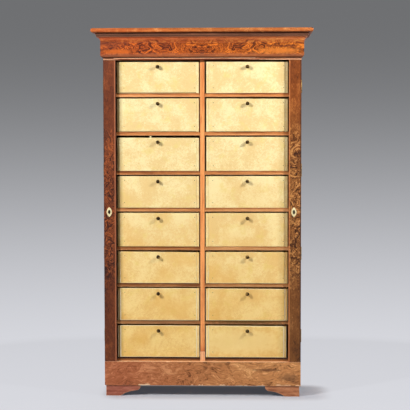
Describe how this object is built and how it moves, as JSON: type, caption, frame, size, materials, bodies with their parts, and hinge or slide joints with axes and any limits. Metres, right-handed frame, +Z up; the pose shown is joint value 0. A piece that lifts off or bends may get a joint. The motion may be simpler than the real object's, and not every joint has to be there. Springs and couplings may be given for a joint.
{
  "type": "bird egg collection cabinet",
  "caption": "Tall veneered cabinet on bracket feet with a moulded cornice, two columns of lidless sliding boxes with ball knobs, and hinged locking stiles on both front corners.",
  "frame": {"origin": "on the floor under the centre of the cabinet's overall box", "axes": "+X to the right seen from the front, the front faces -Y, +Z up"},
  "size_m": [1.012, 0.431, 1.7],
  "materials": {
    "flame_veneer": "flame-figured mahogany veneer, waxed polish",
    "stile_veneer": "dark figured mahogany veneer, waxed polish, worn edges",
    "plinth_veneer": "swirling mahogany veneer, waxed polish, chipped along its lower edge",
    "side_veneer": "straight mahogany veneer, waxed polish",
    "solid_mahogany": "solid mahogany, waxed, worn bright on its edges",
    "carcase_pine": "bare secondary wood, darkened with age",
    "covered_board": "thin board covered with mottled cream paper, worn at the edges",
    "dark_brass": "small turned knobs, tarnished dark",
    "pale_brass": "polished pale brass plate",
    "hinge_brass": "dull brass",
    "lock_steel": "dull steel with a dark patina"
  },
  "bodies": {
    "carcase": {"side_panel_left": "side_veneer", "side_panel_right": "side_veneer", "front_post_left": "side_veneer", "front_post_right": "side_veneer", "back_boards": "carcase_pine", "carcase_top": "carcase_pine", "carcase_bottom": "carcase_pine", "centre_partition": "solid_mahogany", "shelves_left": "solid_mahogany", "shelves_right": "solid_mahogany", "drawer_guides": "carcase_pine", "cornice_moulding": "flame_veneer", "cornice_top": "solid_mahogany", "fillet_rail": "solid_mahogany", "plinth": "plinth_veneer", "front_feet": "solid_mahogany", "back_feet": "solid_mahogany", "carcase_hinge_leaves": "hinge_brass"},
    "stile_left": {"stile_left": "stile_veneer", "stile_hinge_leaves_left": "hinge_brass", "escutcheon_left": "pale_brass", "lock_case_left": "lock_steel"},
    "bolt_left": {"lock_bolt_left": "lock_steel"},
    "drawer_left_1": {"drawer_left_1": "covered_board", "knob_left_1": "dark_brass"},
    "drawer_left_2": {"drawer_left_2": "covered_board", "knob_left_2": "dark_brass"},
    "drawer_left_3": {"drawer_left_3": "covered_board", "knob_left_3": "dark_brass"},
    "drawer_left_4": {"drawer_left_4": "covered_board", "knob_left_4": "dark_brass"},
    "drawer_left_5": {"drawer_left_5": "covered_board", "knob_left_5": "dark_brass"},
    "drawer_left_6": {"drawer_left_6": "covered_board", "knob_left_6": "dark_brass"},
    "drawer_left_7": {"drawer_left_7": "covered_board", "knob_left_7": "dark_brass"},
    "drawer_left_8": {"drawer_left_8": "covered_board", "knob_left_8": "dark_brass"},
    "stile_right": {"stile_right": "stile_veneer", "stile_hinge_leaves_right": "hinge_brass", "escutcheon_right": "pale_brass", "lock_case_right": "lock_steel"},
    "bolt_right": {"lock_bolt_right": "lock_steel"},
    "drawer_right_1": {"drawer_right_1": "covered_board", "knob_right_1": "dark_brass"},
    "drawer_right_2": {"drawer_right_2": "covered_board", "knob_right_2": "dark_brass"},
    "drawer_right_3": {"drawer_right_3": "covered_board", "knob_right_3": "dark_brass"},
    "drawer_right_4": {"drawer_right_4": "covered_board", "knob_right_4": "dark_brass"},
    "drawer_right_5": {"drawer_right_5": "covered_board", "knob_right_5": "dark_brass"},
    "drawer_right_6": {"drawer_right_6": "covered_board", "knob_right_6": "dark_brass"},
    "drawer_right_7": {"drawer_right_7": "covered_board", "knob_right_7": "dark_brass"},
    "drawer_right_8": {"drawer_right_8": "covered_board", "knob_right_8": "dark_brass"}
  },
  "joints": [
    {"name": "stile_hinge_left", "type": "hinge", "parent": "carcase", "child": "stile_left", "pos_m": [-0.455, -0.144, 0.8595], "axis": [0, 0, -1], "range_deg": [0, 120]},
    {"name": "bolt_throw_left", "type": "slide", "parent": "stile_left", "child": "bolt_left", "axis": [0, 0, 1], "range_m": [0, 0.009]},
    {"name": "slide_left_1", "type": "slide", "parent": "carcase", "child": "drawer_left_1", "axis": [0, -1, 0], "range_m": [0, 0.3]},
    {"name": "slide_left_2", "type": "slide", "parent": "carcase", "child": "drawer_left_2", "axis": [0, -1, 0], "range_m": [0, 0.3]},
    {"name": "slide_left_3", "type": "slide", "parent": "carcase", "child": "drawer_left_3", "axis": [0, -1, 0], "range_m": [0, 0.3]},
    {"name": "slide_left_4", "type": "slide", "parent": "carcase", "child": "drawer_left_4", "axis": [0, -1, 0], "range_m": [0, 0.3]},
    {"name": "slide_left_5", "type": "slide", "parent": "carcase", "child": "drawer_left_5", "axis": [0, -1, 0], "range_m": [0, 0.3]},
    {"name": "slide_left_6", "type": "slide", "parent": "carcase", "child": "drawer_left_6", "axis": [0, -1, 0], "range_m": [0, 0.3]},
    {"name": "slide_left_7", "type": "slide", "parent": "carcase", "child": "drawer_left_7", "axis": [0, -1, 0], "range_m": [0, 0.3]},
    {"name": "slide_left_8", "type": "slide", "parent": "carcase", "child": "drawer_left_8", "axis": [0, -1, 0], "range_m": [0, 0.3]},
    {"name": "stile_hinge_right", "type": "hinge", "parent": "carcase", "child": "stile_right", "pos_m": [0.455, -0.144, 0.8595], "axis": [0, 0, 1], "range_deg": [0, 120]},
    {"name": "bolt_throw_right", "type": "slide", "parent": "stile_right", "child": "bolt_right", "axis": [0, 0, 1], "range_m": [0, 0.009]},
    {"name": "slide_right_1", "type": "slide", "parent": "carcase", "child": "drawer_right_1", "axis": [0, -1, 0], "range_m": [0, 0.3]},
    {"name": "slide_right_2", "type": "slide", "parent": "carcase", "child": "drawer_right_2", "axis": [0, -1, 0], "range_m": [0, 0.3]},
    {"name": "slide_right_3", "type": "slide", "parent": "carcase", "child": "drawer_right_3", "axis": [0, -1, 0], "range_m": [0, 0.3]},
    {"name": "slide_right_4", "type": "slide", "parent": "carcase", "child": "drawer_right_4", "axis": [0, -1, 0], "range_m": [0, 0.3]},
    {"name": "slide_right_5", "type": "slide", "parent": "carcase", "child": "drawer_right_5", "axis": [0, -1, 0], "range_m": [0, 0.3]},
    {"name": "slide_right_6", "type": "slide", "parent": "carcase", "child": "drawer_right_6", "axis": [0, -1, 0], "range_m": [0, 0.3]},
    {"name": "slide_right_7", "type": "slide", "parent": "carcase", "child": "drawer_right_7", "axis": [0, -1, 0], "range_m": [0, 0.3]},
    {"name": "slide_right_8", "type": "slide", "parent": "carcase", "child": "drawer_right_8", "axis": [0, -1, 0], "range_m": [0, 0.3]}
  ]
}
